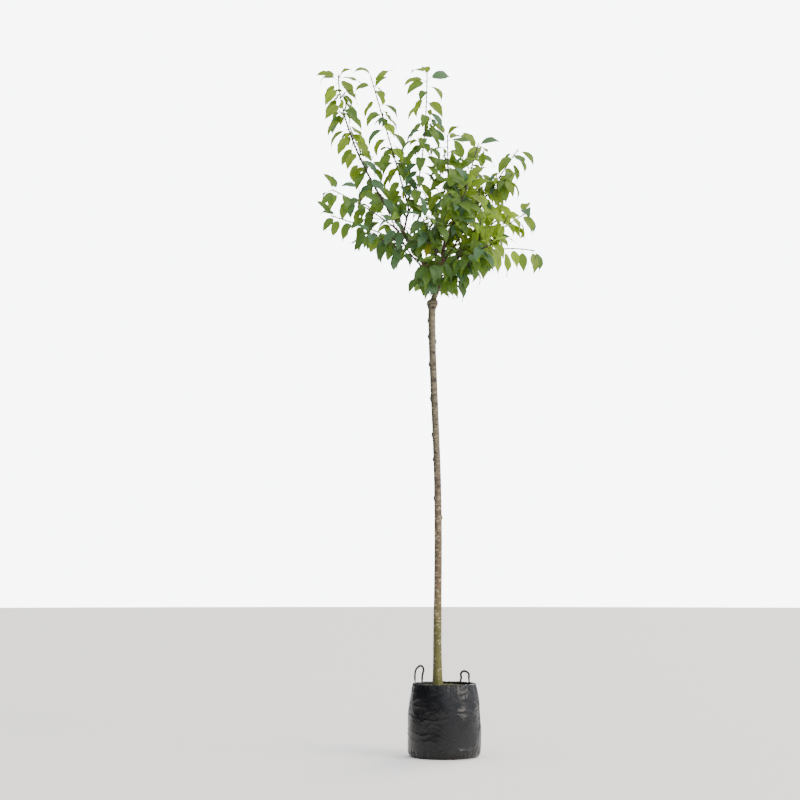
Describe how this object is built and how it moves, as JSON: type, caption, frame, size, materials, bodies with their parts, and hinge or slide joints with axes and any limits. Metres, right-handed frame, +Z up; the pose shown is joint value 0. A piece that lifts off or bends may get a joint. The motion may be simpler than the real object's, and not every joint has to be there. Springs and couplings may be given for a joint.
{
  "type": "sapling with root ball",
  "caption": "Young top-grafted cherry-type tree: tall bare stem, graft knob and an open, uneven crown of long leafy shoots, in a filled black film grow bag with handle loops.",
  "frame": {"origin": "centre of the bag's flat underside, on the ground", "axes": "+Z up along the stem, +Y away from the viewer of the picture, +X to the viewer's right: the long upright shoots lean towards -X"},
  "size_m": [1.275, 0.8991, 3.8401],
  "materials": {
    "bag_film": "black polyethylene film, satin, wrinkled",
    "strap": "black woven plastic tape",
    "substrate": "moist peat and bark substrate, rough",
    "bark": "smooth young cherry bark with cross bands",
    "young_bark": "brown young bark",
    "leaf": "fresh green leaves, slightly glossy"
  },
  "bodies": {
    "root": {"grow_bag": "bag_film", "substrate": "substrate", "handle_left": "strap", "handle_right": "strap", "trunk": "bark", "left_bough": "young_bark", "centre_bough": "young_bark", "back_bough": "young_bark", "left_fork_bough": "young_bark", "inner_spur": "young_bark", "left_upper_spur": "young_bark", "left_middle_spur": "young_bark", "left_lower_spur": "young_bark", "left_front_spur": "young_bark", "back_left_bough": "young_bark", "right_upper_bough": "young_bark", "right_outer_bough": "young_bark", "right_lower_bough": "young_bark", "front_right_bough": "young_bark", "back_right_bough": "young_bark", "centre_spur": "young_bark", "front_upper_spur": "young_bark", "front_centre_spur": "young_bark", "back_upper_spur": "young_bark", "front_bough": "young_bark", "low_right_spur": "young_bark", "low_back_spur": "young_bark", "left_tall_foliage": "leaf", "middle_tall_foliage": "leaf", "inner_tall_foliage": "leaf", "left_upper_foliage": "leaf", "left_middle_foliage": "leaf", "left_lower_foliage": "leaf", "left_front_foliage": "leaf", "back_left_foliage": "leaf", "centre_tall_foliage": "leaf", "centre_side_foliage": "leaf", "right_upper_foliage": "leaf", "right_outer_foliage": "leaf", "right_lower_foliage": "leaf", "front_right_foliage": "leaf", "front_upper_foliage": "leaf", "front_centre_foliage": "leaf", "front_low_foliage": "leaf", "low_right_foliage": "leaf", "low_back_foliage": "leaf", "back_low_foliage": "leaf", "back_right_foliage": "leaf", "back_upper_foliage": "leaf"}
  },
  "joints": []
}
